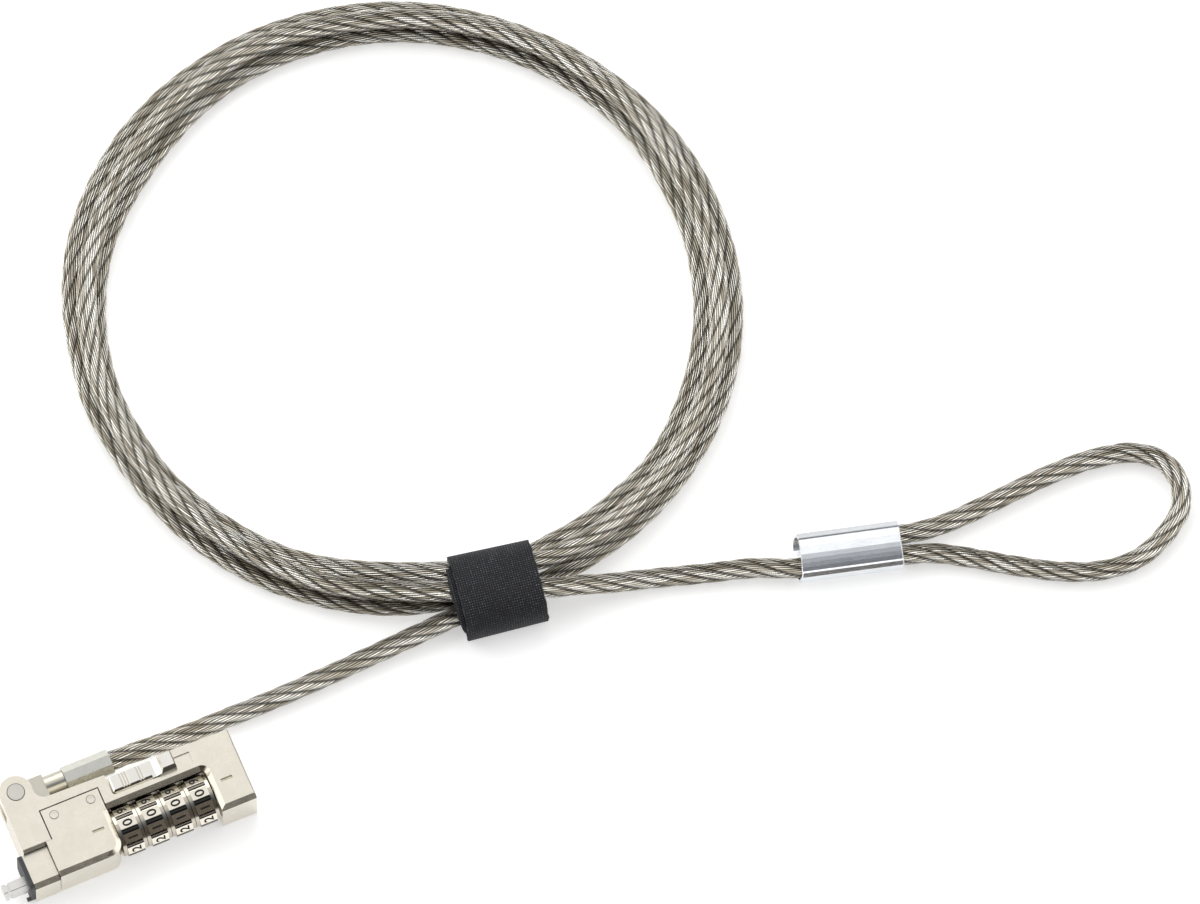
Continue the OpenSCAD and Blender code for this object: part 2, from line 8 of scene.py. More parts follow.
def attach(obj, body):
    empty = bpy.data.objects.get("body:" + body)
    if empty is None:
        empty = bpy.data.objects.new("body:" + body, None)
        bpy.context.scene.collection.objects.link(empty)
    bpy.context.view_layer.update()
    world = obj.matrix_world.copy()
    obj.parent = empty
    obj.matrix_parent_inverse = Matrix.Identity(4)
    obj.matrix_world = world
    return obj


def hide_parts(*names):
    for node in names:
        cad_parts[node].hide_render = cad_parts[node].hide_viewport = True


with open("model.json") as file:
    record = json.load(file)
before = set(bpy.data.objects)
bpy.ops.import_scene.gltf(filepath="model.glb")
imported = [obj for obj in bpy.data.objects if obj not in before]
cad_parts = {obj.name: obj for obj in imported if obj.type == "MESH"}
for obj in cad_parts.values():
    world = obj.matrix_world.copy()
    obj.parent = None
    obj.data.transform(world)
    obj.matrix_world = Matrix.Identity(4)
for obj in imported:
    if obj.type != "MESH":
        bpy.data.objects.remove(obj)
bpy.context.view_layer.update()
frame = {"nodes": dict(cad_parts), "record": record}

MM = 0.001


# ---- camera ----

def look_from(target, azimuth, elevation, distance):
    """Where a camera stands that looks at target along the ground heading azimuth."""
    a, e = math.radians(azimuth), math.radians(elevation)
    back = Vector((-math.sin(a) * math.cos(e), -math.cos(a) * math.cos(e), math.sin(e)))
    return Vector(target) + back * distance


TARGET = (0.1448, 0.0381, 0.0)
AZIMUTH, ELEVATION = 23, 72
# a long lens from far off; from much farther, other views would lie past their far clip
DISTANCE = 10.0
WIDTH_SEEN = 0.2913

camera_data = bpy.data.cameras.new("camera")
camera_data.sensor_width = 36
camera_data.lens = 36 * DISTANCE / WIDTH_SEEN
camera_data.clip_start = 0.05
camera_data.clip_end = 60
camera = bpy.data.objects.new("camera", camera_data)
bpy.context.collection.objects.link(camera)
camera.location = look_from(TARGET, AZIMUTH, ELEVATION, DISTANCE)
camera.rotation_euler = (Vector(TARGET) - camera.location).to_track_quat("-Z", "Y").to_euler()
bpy.context.scene.camera = camera


# ---- shader helpers ----

class Nodes:
    """A new material's node tree, with short calls to add nodes and join them."""

    def __init__(self, name):
        self.mat = bpy.data.materials.new(name)
        self.mat.use_nodes = True
        self.tree = self.mat.node_tree
        self.bsdf = self.tree.nodes["Principled BSDF"]

    def add(self, kind, **values):
        node = self.tree.nodes.new(kind)
        for key, value in values.items():
            if hasattr(node, key):
                setattr(node, key, value)
            else:
                node.inputs[key.replace("_", " ").title()].default_value = value
        return node

    def join(self, source, target):
        self.tree.links.new(source, target)

    def set(self, **values):
        for key, value in values.items():
            self.bsdf.inputs[key.replace("_", " ")].default_value = value

    def coords(self, scale=(1, 1, 1), turn=(0, 0, 0)):
        """Object coordinates in millimetres."""
        at = self.add("ShaderNodeTexCoord")
        move = self.add("ShaderNodeMapping")
        move.inputs["Scale"].default_value = [1000 * s for s in scale]
        move.inputs["Rotation"].default_value = [math.radians(t) for t in turn]
        self.join(at.outputs["Object"], move.inputs["Vector"])
        return move.outputs["Vector"]

    def noise(self, vector, scale, detail=3, rough=0.5):
        node = self.add("ShaderNodeTexNoise")
        node.inputs["Scale"].default_value = scale
        node.inputs["Detail"].default_value = detail
        node.inputs["Roughness"].default_value = rough
        self.join(vector, node.inputs["Vector"])
        return node.outputs["Fac"]

    def ramp(self, fac, stops):
        """stops: (position, colour or grey) pairs."""
        node = self.add("ShaderNodeValToRGB")
        while len(node.color_ramp.elements) < len(stops):
            node.color_ramp.elements.new(0.5)
        for element, (at, colour) in zip(node.color_ramp.elements, stops):
            element.position = at
            c = (colour,) * 3 if isinstance(colour, (int, float)) else colour
            element.color = (*c, 1)
        self.join(fac, node.inputs["Fac"])
        return node.outputs["Color"]

    def mix(self, fac, a, b, blend="MIX"):
        node = self.add("ShaderNodeMix", data_type="RGBA", blend_type=blend)
        for value, socket in ((fac, node.inputs[0]), (a, node.inputs[6]), (b, node.inputs[7])):
            if isinstance(value, bpy.types.NodeSocket):
                self.join(value, socket)
            elif isinstance(value, (int, float)):
                socket.default_value = value
            else:
                socket.default_value = (*value, 1)
        return node.outputs[2]

    def maths(self, op, a, b=None):
        node = self.add("ShaderNodeMath", operation=op)
        for value, socket in zip((a, b), node.inputs):
            if isinstance(value, bpy.types.NodeSocket):
                self.join(value, socket)
            elif value is not None:
                socket.default_value = value
        return node.outputs[0]

    def bump(self, height, distance, strength=1.0, normal=None):
        node = self.add("ShaderNodeBump")
        node.inputs["Strength"].default_value = strength
        node.inputs["Distance"].default_value = distance * MM
        self.join(height, node.inputs["Height"])
        if normal is not None:
            self.join(normal, node.inputs["Normal"])
        return node.outputs["Normal"]


def metal_nodes(name, colour, rough, grain=(1, 1, 1), grain_depth=0.006, vary=0.025,
                mottle=0.2):
    """Plated or bare metal: a fine grain, cloudy roughness and faint stains."""
    n = Nodes(name)
    n.set(Metallic=1.0)
    fine = n.noise(n.coords(grain), 9, 4, 0.6)
    cloud = n.noise(n.coords(), 0.22, 4, 0.6)
    stain = n.noise(n.coords(), 1.1, 5, 0.7)
    low = [c * (1 - vary) for c in colour]
    high = [min(1, c * (1 + vary)) for c in colour]
    base = n.ramp(cloud, [(0.3, low), (0.7, high)])
    spots = n.ramp(stain, [(0.35, 0.95), (0.6, 1.0)])
    n.join(n.mix(0.5, base, spots, "MULTIPLY"), n.bsdf.inputs["Base Color"])
    roughness = n.ramp(n.mix(0.4, cloud, fine), [
        (0.2, max(0.05, rough * (1 - mottle))), (0.8, rough * (1 + mottle))])
    n.join(roughness, n.bsdf.inputs["Roughness"])
    n.join(n.bump(fine, grain_depth), n.bsdf.inputs["Normal"])
    return n


def metal(*args, **more):
    return metal_nodes(*args, **more).mat


# ---- geometry helpers ----

def link(obj):
    bpy.context.collection.objects.link(obj)
    return obj


def mesh_object(name, verts, faces, material=None, smooth=False):
    mesh = bpy.data.meshes.new(name)
    mesh.from_pydata([Vector(v) * MM for v in verts], [], faces)
    mesh.update()
    if material:
        mesh.materials.append(material)
    if smooth:
        mesh.polygons.foreach_set("use_smooth", [True] * len(mesh.polygons))
    return link(bpy.data.objects.new(name, mesh))


def catmull(points, steps):
    """Centripetal curve through the points, with that many steps from one to the next."""
    p = [Vector(q) for q in points]
    p = [2 * p[0] - p[1]] + p + [2 * p[-1] - p[-2]]
    out = []
    for i in range(1, len(p) - 2):
        t = [0.0]
        for k in range(3):
            t.append(t[-1] + math.sqrt((p[i + k] - p[i + k - 1]).length))
        for s in range(steps):
            u = t[1] + (t[2] - t[1]) * s / steps
            a = [((t[k + 1] - u) * p[i - 1 + k] + (u - t[k]) * p[i + k]) / (t[k + 1] - t[k])
                 for k in range(3)]
            b = [((t[k + 2] - u) * a[k] + (u - t[k]) * a[k + 1]) / (t[k + 2] - t[k])
                 for k in range(2)]
            out.append(((t[2] - u) * b[0] + (u - t[1]) * b[1]) / (t[2] - t[1]))
    return out + [p[-2]]


def resample(points, step):
    """The same line with its points about step apart, and its length."""
    at = [0.0]
    for a, b in zip(points, points[1:]):
        at.append(at[-1] + (b - a).length)
    count = max(2, round(at[-1] / step))
    out, i = [], 0
    for k in range(count + 1):
        s = at[-1] * k / count
        while i < len(points) - 2 and at[i + 1] < s:
            i += 1
        f = (s - at[i]) / max(1e-9, at[i + 1] - at[i])
        out.append(points[i].lerp(points[i + 1], min(1, f)))
    return out, at[-1]


def frames(points):
    """(direction, side, up) at each point, carried along without turning."""
    out, side = [], None
    for i, p in enumerate(points):
        d = (points[min(i + 1, len(points) - 1)] - points[max(i - 1, 0)]).normalized()
        if side is None:
            side = d.cross(Vector((0, 0, 1))).normalized()
        side = (side - d * side.dot(d)).normalized()
        out.append((d, side, side.cross(d)))
    return out


def keyed(keys, x):
    """A smooth value between (x, a, b, ...) keys."""
    for lo, hi in zip(keys, keys[1:]):
        if x <= hi[0]:
            t = (x - lo[0]) / (hi[0] - lo[0])
            t = max(0.0, min(1.0, t))
            t = t * t * (3 - 2 * t)
            return [a + (b - a) * t for a, b in zip(lo[1:], hi[1:])]
    return list(keys[-1][1:])


# ---- the cable's route, in millimetres ----

CABLE_D = 5.0
COIL_CENTRE = (114.5, 89.0)
COIL_R = 75.0
COIL_OVAL = 0.026
STRAP_AT = -95.2

LEAD = [(-4, 10, 6.5), (4.2, 10, 6.5), (10, 10, 6.1), (17, 10.1, 4.4), (25, 10.2, 2.9),
        (34, 10.3, 2.5), (48, 10.3, 2.5), (62, 10.7, 2.5), (75, 11.3, 2.6), (88, 11.8, 3.2),
        (97.5, 12.1, 3.7)]
RUN = [(120.5, 8.4, 7.3), (126.5, 6.9, 6.1), (133, 5.2, 4.4), (145, 2.3, 2.5),
       (156, -1.1, 2.5), (167, -4.5, 2.9), (176.6, -8.8, 3.45), (189.1, -12.4, 3.45)]
EYE = [(201.7, -15.8, 3.45), (209, -18.2, 2.9), (217, -22.8, 2.5), (226, -28.8, 2.5),
       (236, -34.6, 2.5), (245, -38, 2.5), (254, -38.6, 2.5), (262, -35.8, 2.5),
       (268.5, -30.8, 2.5), (270.8, -24.4, 2.5), (269.2, -18, 2.5), (263.6, -13.4, 2.5),
       (254, -11, 2.5), (242, -10.6, 2.5), (229, -11.4, 2.5), (217, -12.1, 2.5),
       (209, -11.8, 2.9), (203, -10.7, 3.45), (190.5, -7.4, 3.45), (179.6, -4.5, 3.45)]

# How far each pass lies outside the coil's middle, and above its lowest layer
TURNS = [(0, 4.2, 0), (10, 3.2, 0), (24, 2.6, 0), (345, 2.6, 0), (354, 1.0, 0), (362, -1.4, 0),
         (371, -4.2, 0), (384, -3.6, 0), (402, -2.6, 0), (665, -2.6, 0), (700, -4.4, 4.0),
         (711, -4.3, 4.2), (720, -3.0, 4.4), (735, 0, 4.4), (1062, 0, 4.4), (1071, 1.0, 4.5),
         (1080, 2.6, 4.9)]


# How each turn strays from its place, by degrees past the tie: the outer, inner and top turn
STRAY = [(0, 0, 0, 0), (35, 0.5, -1.1, 0.4), (58, 0.8, -1.6, 0.2), (95, 0.3, -1.3, -0.8),
         (118, 0, 0, 0.3), (140, 0.2, 0.6, 0.5), (168, 1.6, 1.2, 0.6), (192, 2.2, 1.0, 1.6),
         (222, 2.5, -0.5, 0.6), (240, 2.0, 0.4, 0.3), (262, 0, 0.1, -0.3), (285, -1.2, -1.2, -1.2),
         (306, -0.6, -2.3, -1.4), (330, -0.3, -0.8, 0), (360, 0, 0, 0)]


def coil_point(turned):
    """A point of the coil, turned degrees after the cable first passes the tie."""
    out, rise = keyed(TURNS, turned)
    off = abs((turned + 180) % 360 - 180)
    lift = 1.2 * (1 - keyed([(12, 0), (48, 1)], off)[0])
    lap = min(2, int(turned // 360))
    wander = keyed(STRAY, turned - 360 * lap)[lap]
    a = math.radians(STRAP_AT + turned)
    oval = 1 + COIL_OVAL * math.cos(2 * (a + math.radians(23)))
    r = COIL_R * oval + out + wander
    return (COIL_CENTRE[0] + r * math.cos(a), COIL_CENTRE[1] + r * math.sin(a),
            CABLE_D / 2 + lift + rise)


COIL = [coil_point(t) for t in (0, 5, 10)]
COIL += [coil_point(t) for t in range(20, 1070, 10)] + [coil_point(1071), coil_point(1080)]
ROUTE = resample(catmull(LEAD + COIL + RUN + EYE, 8), 1.6)[0]


# ---- the steel rope ----

def rope_material():
    n = Nodes("rope_steel")
    n.set(Metallic=1.0)
    groove = n.add("ShaderNodeAttribute", attribute_name="groove").outputs["Fac"]
    uv = n.add("ShaderNodeUVMap", uv_map="rope")
    parts = n.add("ShaderNodeSeparateXYZ")
    n.join(uv.outputs["UV"], parts.inputs[0])
    # fine wires: five across each strand, nearly in line with the rope
    phase = n.maths("SUBTRACT", n.maths("MULTIPLY", parts.outputs[1], 30.0),
                    n.maths("MULTIPLY", parts.outputs[0], 0.84))
    wave = n.maths("SINE", n.maths("MULTIPLY", phase, 2 * math.pi))
    wires = n.maths("ADD", n.maths("MULTIPLY", wave, 0.5), 0.5)
    # each wire has its own tone where it crosses the face of a strand
    which = n.add("ShaderNodeTexWhiteNoise", noise_dimensions="1D")
    strand = n.maths("FLOOR", n.maths("MULTIPLY", parts.outputs[1], 6.0))
    wire = n.maths("FLOOR", n.maths("ADD", phase, 0.25))
    n.join(n.maths("ADD", n.maths("MULTIPLY", strand, 17.3), wire), which.inputs["W"])
    cloud = n.noise(n.coords(), 0.35, 4, 0.6)
    tone = n.mix(0.4, which.outputs["Value"], cloud)
    base = n.ramp(tone, [(0.15, (0.34, 0.30, 0.225)), (0.40, (0.72, 0.66, 0.55)),
                         (0.60, (1.0, 0.97, 0.89))])
    # painted shade: the colour is darkened in the gaps between the wires
    wire_gap_shade = n.ramp(wires, [(0.02, 0.02), (0.42, 1.0)])
    base = n.mix(0.95, base, wire_gap_shade, "MULTIPLY")
    # painted shade: darker down in the grooves between the strands
    dark = n.ramp(groove, [(0.55, 1.0), (0.82, 0.6), (1.0, 0.1)])
    n.join(n.mix(1.0, base, dark, "MULTIPLY"), n.bsdf.inputs["Base Color"])
    n.join(n.ramp(tone, [(0.2, 0.38), (0.8, 0.22)]), n.bsdf.inputs["Roughness"])
    n.join(n.bump(wires, 0.36), n.bsdf.inputs["Normal"])
    return n.mat


def rope(name, path, diameter, material, strands=6, lay=40.0, across=10):
    """Six strands laid right-handed round a core, as one closed skin along the path."""
    strand_r = diameter / 6
    centre_r = diameter / 3
    ring = []
    for s in range(strands):
        for k in range(across):
            t = math.radians(60 * ((k + 0.5) / across - 0.5))
            flat = math.sqrt(max(0, strand_r ** 2 - (centre_r * math.sin(t)) ** 2))
            r = diameter / 2 - 0.5 * (diameter / 2 - centre_r * math.cos(t) - flat)
            ring.append((math.radians(60 * s) + t, r, abs(t) / math.radians(30)))
    n = len(ring)
    verts, faces, groove = [], [], []
    along = 0.0
    lengths = []
    for i, (p, (d, side, up)) in enumerate(zip(path, frames(path))):
        if i:
            along += (p - path[i - 1]).length
        lengths.append(along)
        # a right-hand lay turns from side towards up, seen along the rope
        twist = -2 * math.pi * along / lay
        for a, r, g in ring:
            verts.append(p + side * r * math.cos(a + twist) + up * r * math.sin(a + twist))
            groove.append(g)
    last = len(path) - 1
    for i in range(last):
        for k in range(n):
            a, b = i * n + k, i * n + (k + 1) % n
            faces.append((a, b, b + n, a + n))
    faces.append(tuple(range(n - 1, -1, -1)))
    faces.append(tuple(last * n + k for k in range(n)))
    obj = mesh_object(name, verts, faces, material, smooth=True)
    mesh = obj.data
    tint = mesh.attributes.new("groove", "FLOAT", "POINT")
    tint.data.foreach_set("value", groove)
    layer = mesh.uv_layers.new(name="rope")
    for poly in mesh.polygons:
        first = poly.vertices[0]
        for loop in poly.loop_indices:
            v = mesh.loops[loop].vertex_index
            row, column = divmod(v, n)
            if poly.loop_total == 4 and column == 0 and first % n == n - 1:
                column = n
            layer.data[loop].uv = (lengths[row], column / n)
    for poly in list(mesh.polygons)[-2:]:
        poly.use_smooth = False
    return obj


steel_rope = rope("steel_rope", ROUTE, CABLE_D, rope_material())
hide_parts("cable_lead", "cable_coil", "cable_run", "cable_eye")
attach(steel_rope, "cable")


# ---- the woven tie ----

def tie_material():
    n = Nodes("tie_fabric")
    n.set(Roughness=0.85)
    n.bsdf.inputs["Sheen Weight"].default_value = 0.04
    n.bsdf.inputs["Sheen Roughness"].default_value = 0.5
    uv = n.add("ShaderNodeUVMap", uv_map="tape")
    scale = n.add("ShaderNodeMapping")
    n.join(uv.outputs["UV"], scale.inputs["Vector"])
    parts = n.add("ShaderNodeSeparateXYZ")
    n.join(scale.outputs["Vector"], parts.inputs[0])
    pitch = 0.6
    u = n.maths("MULTIPLY", parts.outputs[0], math.pi / pitch)
    v = n.maths("MULTIPLY", parts.outputs[1], math.pi / pitch)
    warp = n.maths("ABSOLUTE", n.maths("SINE", u))
    weft = n.maths("ABSOLUTE", n.maths("SINE", v))
    check = n.maths("MULTIPLY", n.maths("SINE", u), n.maths("SINE", v))
    over = n.maths("GREATER_THAN", check, 0.0)
    weave = n.mix(over, warp, weft)
    fuzz = n.noise(n.coords(), 3.2, 5, 0.75)
    dots = n.maths("MULTIPLY", warp, weft)
    height = n.mix(0.62, n.mix(0.35, dots, weave), fuzz)
    worn = n.ramp(n.noise(n.coords(), 0.12, 3), [(0.35, 0.75), (0.65, 1.25)])
    # painted shade: the colour follows the weave's height, near black low in the weave and lighter
    # on the raised threads and fuzz
    colour = n.ramp(height, [(0.3, (0.001, 0.001, 0.002)), (0.52, (0.004, 0.004, 0.006)),
                             (0.64, (0.017, 0.019, 0.025)), (0.76, (0.17, 0.185, 0.22))])
    n.join(n.mix(1.0, colour, worn, "MULTIPLY"), n.bsdf.inputs["Base Color"])
    n.join(n.bump(height, 0.22, 0.8), n.bsdf.inputs["Normal"])
    return n.mat


TIE_AT = Vector((107.6, 13.6, 0))
TIE_ALONG = Vector((math.cos(math.radians(-8)), math.sin(math.radians(-8)), 0))
TIE_ACROSS = Vector((-TIE_ALONG.y, TIE_ALONG.x, 0))


def tape(name, line, along0, along1, thick, material, spread=None, edge=0.16):
    """A strip of tape that follows line, (across, up) points seen along the cable."""
    pts, _ = resample(catmull([(u, z, 0) for u, z in line], 10), 0.7)
    columns = 26
    verts, faces, uv = [], [], []
    for side in (0, 1):
        for i, p in enumerate(pts):
            d = (pts[min(i + 1, len(pts) - 1)] - pts[max(i - 1, 0)]).normalized()
            normal = Vector((d.y, -d.x, 0))
            for k in range(columns + 1):
                t = k / columns
                x = along0 + (along1 - along0) * t
                x += edge * math.sin(i * 0.9 + 3 * side) * (2 * t - 1) ** 15
                x += spread(t, i / (len(pts) - 1)) if spread else 0
                q = p + normal * thick * (0.5 if side else -0.5)
                point = TIE_AT + TIE_ALONG * x + TIE_ACROSS * q.x + Vector((0, 0, q.y))
                point.z = max(0.02, point.z)
                verts.append(point)
                uv.append((x, i * 0.7))
    rows, n = len(pts), columns + 1

    def at(side, i, k):
        return side * rows * n + i * n + k

    for i in range(rows - 1):
        for k in range(columns):
            faces.append((at(0, i, k), at(0, i + 1, k), at(0, i + 1, k + 1), at(0, i, k + 1)))
            faces.append((at(1, i, k), at(1, i, k + 1), at(1, i + 1, k + 1), at(1, i + 1, k)))
        for k, flip in ((0, False), (columns, True)):
            quad = (at(0, i, k), at(1, i, k), at(1, i + 1, k), at(0, i + 1, k))
            faces.append(quad[::-1] if flip else quad)
    for i, flip in ((0, True), (rows - 1, False)):
        for k in range(columns):
            quad = (at(0, i, k), at(1, i, k), at(1, i, k + 1), at(0, i, k + 1))
            faces.append(quad[::-1] if flip else quad)
    obj = mesh_object(name, verts, faces, material, smooth=True)
    layer = obj.data.uv_layers.new(name="tape")
    for loop in obj.data.loops:
        layer.data[loop.index].uv = uv[loop.vertex_index]
    return obj


def inner_edge(t, f):
    """The inner turn stands out from under the outer one along its left edge."""
    out = keyed([(0.35, 0), (0.41, 0.9), (0.5, 1.5), (0.62, 1.7), (0.8, 1.2), (1.0, 1.0)], f)[0]
    return -out * (1 - t) ** 2


TIE_BACK = 10.9


def slimmer(obj):
    """Draws the tie's back edge in, more so towards its right end."""
    for v in obj.data.vertices:
        at = v.co / MM - TIE_AT
        across, along = at.dot(TIE_ACROSS), at.dot(TIE_ALONG)
        if across > 0:
            v.co -= TIE_ACROSS * MM * (0.5 + 0.04 * (along + 10)) * across / TIE_BACK


fabric = tie_material()
inner_wrap = tape("tie_inner_wrap", [
    (6, 0.75), (0, 0.62), (-5, 0.7), (-7, 1.4), (-8.1, 3.2), (-8.3, 5.6), (-7.7, 8.2),
    (-5.6, 10.1), (-2, 10.8), (2, 10.9), (6, 10.4), (8.6, 8.9), (9.5, 6), (9.2, 3), (7.6, 1.0)],
    -10.0, 9.3, 0.9, fabric, inner_edge)
outer_wrap = tape("tie_outer_wrap", [
    (8.4, 1.1), (10.3, 2.8), (10.9, 6), (10.2, 9.4), (7.6, 11.5), (2, 12.35), (-3, 12.2),
    (-6.8, 11.0), (-9.0, 8.4), (-9.7, 5.2), (-9.2, 2.5), (-7.8, 0.9)],
    -10.0, 10.0, 0.9, fabric)
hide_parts("cable_tie")
for piece in (inner_wrap, outer_wrap):
    slimmer(piece)
    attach(piece, "cable")


# ---- the crimp sleeve ----

SLEEVE_AT = Vector((189.8, -9.9, 3.45))
SLEEVE_AXIS = Vector((math.cos(math.radians(-15)), math.sin(math.radians(-15)), 0))
SLEEVE_SIDE = Vector((-SLEEVE_AXIS.y, SLEEVE_AXIS.x, 0))


# The sleeve's outline seen along the rope: across from its middle, and up from its middle
OUTLINE = [(4.0, 3.40), (3.85, 3.05), (3.6, 3.38), (1.8, 3.44), (-0.2, 3.40), (-1.3, 3.22),
           (-2.3, 2.98), (-3.3, 2.68), (-4.25, 2.32), (-4.4, 2.46), (-4.75, 2.46), (-5.55, 1.62),
           (-6.0, -0.9), (-5.4, -2.6), (-3.4, -3.40), (3.4, -3.40), (5.2, -2.8), (6.02, -1.2),
           (6.02, 0.8), (5.55, 2.2)]


def sleeve(name, material):
    """A pressed aluminium sleeve: flats from the press, and open ends for the rope."""
    half = 13.0
    profile = [(-half + 2.4, 1.15), (-half, 0.85), (-half, 0.3), (-half + 0.25, 0),
               (half - 0.25, 0), (half, 0.3), (half, 0.85), (half - 2.4, 1.15)]
    verts, faces = [], []
    n = len(OUTLINE)
    for x, inset in profile:
        for y, z in OUTLINE:
            # the end by the run is cut a little aslant
            cut = 1.3 * (z + 3.4) / 6.8 if x < 0 else 0
            verts.append(SLEEVE_AT + SLEEVE_AXIS * (x + cut) + SLEEVE_SIDE * y * (1 - inset / 6.05)
                         + Vector((0, 0, z * (1 - inset / 3.45))))
    for i in range(len(profile) - 1):
        for k in range(n):
            a, b = i * n + k, i * n + (k + 1) % n
            faces.append((a, b, b + n, a + n))
    faces.append(tuple(range(n - 1, -1, -1)))
    faces.append(tuple((len(profile) - 1) * n + k for k in range(n)))
    obj = mesh_object(name, verts, faces, material)
    bevel = obj.modifiers.new("edge", "BEVEL")
    bevel.width = 0.1 * MM
    bevel.segments = 2
    bevel.angle_limit = math.radians(14)
    return obj


def sleeve_material():
    """Bright aluminium, with painted shade: darker on the flat at the back, dark in the crease
    beside it, and a little darker on the wall at the front.
    """
    n = metal_nodes("sleeve_aluminium", (0.87, 0.89, 0.92), 0.22, (1.2, 1.2, 1.2), 0.035, 0.04)
    at = n.add("ShaderNodeSeparateXYZ")
    n.join(n.coords(), at.inputs[0])
    across = n.maths("ADD", n.maths("MULTIPLY", at.outputs[0], SLEEVE_SIDE.x),
                     n.maths("MULTIPLY", at.outputs[1], SLEEVE_SIDE.y))
    across = n.maths("SUBTRACT", across, SLEEVE_AT.dot(SLEEVE_SIDE))
    # painted shade across the sleeve, from its front wall to the flat at the back
    sleeve_shade = n.ramp(n.maths("DIVIDE", n.maths("ADD", across, 6.1), 12.2),
                  [(0.0, 0.86), (0.035, 0.92), (0.06, 1.0), (0.775, 1.0), (0.80, 0.66),
                   (0.835, 0.66), (0.86, 0.80), (1.0, 0.72)])
    base = n.bsdf.inputs["Base Color"].links[0].from_socket
    n.join(n.mix(1.0, base, sleeve_shade, "MULTIPLY"), n.bsdf.inputs["Base Color"])
    return n.mat


aluminium = sleeve_material()
crimp = sleeve("sleeve_shell", aluminium)
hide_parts("crimp_sleeve")
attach(crimp, "cable")


# ---- metals of the lock ----

DIAL_Y, DIAL_Z, DIAL_R, DIAL_PITCH = -7.75, 6.9, 6.2, 6.3


def dial_metal():
    """Nickel with painted shade: darker on the rims, a dark hatched bar between one number and the
    next, and darker still in the grooves.
    """
    n = metal_nodes("dial_nickel", (0.84, 0.79, 0.69), 0.17)
    at = n.add("ShaderNodeSeparateXYZ")
    n.join(n.coords(), at.inputs[0])
    y = n.maths("ADD", at.outputs[1], -DIAL_Y)
    z = n.maths("ADD", at.outputs[2], -DIAL_Z)
    turn = n.maths("DIVIDE", n.maths("ARCTAN2", y, z), math.radians(36))
    # 0 halfway between two numbers, 0.5 at a number
    apart = n.maths("ABSOLUTE", n.maths("SUBTRACT", n.maths("FRACT", turn), 0.5))
    groove = n.maths("COMPARE", apart, 4 / 36)
    groove.node.inputs[2].default_value = 0.05
    out = n.maths("SQRT", n.maths("ADD", n.maths("POWER", y, 2), n.maths("POWER", z, 2)))
    band = n.maths("GREATER_THAN", out, DIAL_R - 0.42)
    # painted shade in the grooves between the number pads
    groove_shade = n.maths("MULTIPLY", groove, band)
    colour = n.bsdf.inputs["Base Color"].links[0].from_socket
    # painted shade on the rims
    shaded_rim = n.maths("LESS_THAN", out, DIAL_R - 0.36)
    colour = n.mix(n.maths("MULTIPLY", shaded_rim, 0.55), colour, (0.30, 0.27, 0.22))
    # painted shade: a dark hatched bar in the recess between one number and the next
    between = n.maths("MULTIPLY", n.maths("LESS_THAN", apart, 5.4 / 36), band)
    rib_hatch_shade = n.ramp(n.maths("SINE", n.maths("MULTIPLY", at.outputs[0], 16.0)),
                   [(0.2, 0.82), (0.8, 0.97)])
    colour = n.mix(n.maths("MULTIPLY", between, rib_hatch_shade), colour, (0.045, 0.038, 0.031))
    n.join(n.mix(groove_shade, colour, (0.020, 0.017, 0.014)), n.bsdf.inputs["Base Color"])
    return n.mat


RIVETS = [(-14.35, 0.9), (-4.7, 1.05)]
PIVOT = (-20.65, 9.8)
PIN_R = 2.05


def case_metal(name, colour):
    """Satin nickel with painted shade in the joints round the cover, its rivets and the pivot pin.
    """
    n = metal_nodes(name, colour, 0.26)
    at = n.add("ShaderNodeSeparateXYZ")
    n.join(n.coords(), at.inputs[0])
    x, y, z = at.outputs

    def near(value, middle, half):
        node = n.maths("COMPARE", value, middle)
        node.node.inputs[2].default_value = half
        return node

    def ring(centre, radius, half):
        dx, dy = (n.maths("SUBTRACT", v, c) for v, c in zip((x, y), centre))
        squares = n.maths("ADD", n.maths("POWER", dx, 2), n.maths("POWER", dy, 2))
        return near(n.maths("SQRT", squares), radius, half)

    # painted shade: dark rings and lines in the joints round the cover, its rivets and the pivot
    # pin, on the top face only
    joint_shade_masks = [ring(at, 1.05, 0.09) for at in RIVETS] + [ring(PIVOT, PIN_R + 0.06, 0.11)]
    for value, middle, along, centre, half in ((y, 3.16, x, -9.6, 7.75), (x, -17.25, y, -0.7, 3.95),
                                               (x, -2.02, y, 0.35, 2.9)):
        joint_shade_masks.append(n.maths("MULTIPLY", near(value, middle, 0.16), near(along, centre, half)))
    joint_shade = joint_shade_masks[0]
    for mark in joint_shade_masks[1:]:
        joint_shade = n.maths("MAXIMUM", joint_shade, mark)
    joint_shade = n.maths("MULTIPLY", joint_shade, n.maths("GREATER_THAN", z, 12.3))
    uneven = n.ramp(n.noise(n.coords(), 0.7, 3), [(0.3, 0.75), (0.55, 0.98)])
    joint_shade = n.maths("MULTIPLY", joint_shade, uneven)
    base = n.bsdf.inputs["Base Color"].links[0].from_socket
    n.join(n.mix(joint_shade, base, (0.035, 0.029, 0.022)), n.bsdf.inputs["Base Color"])
    return n.mat


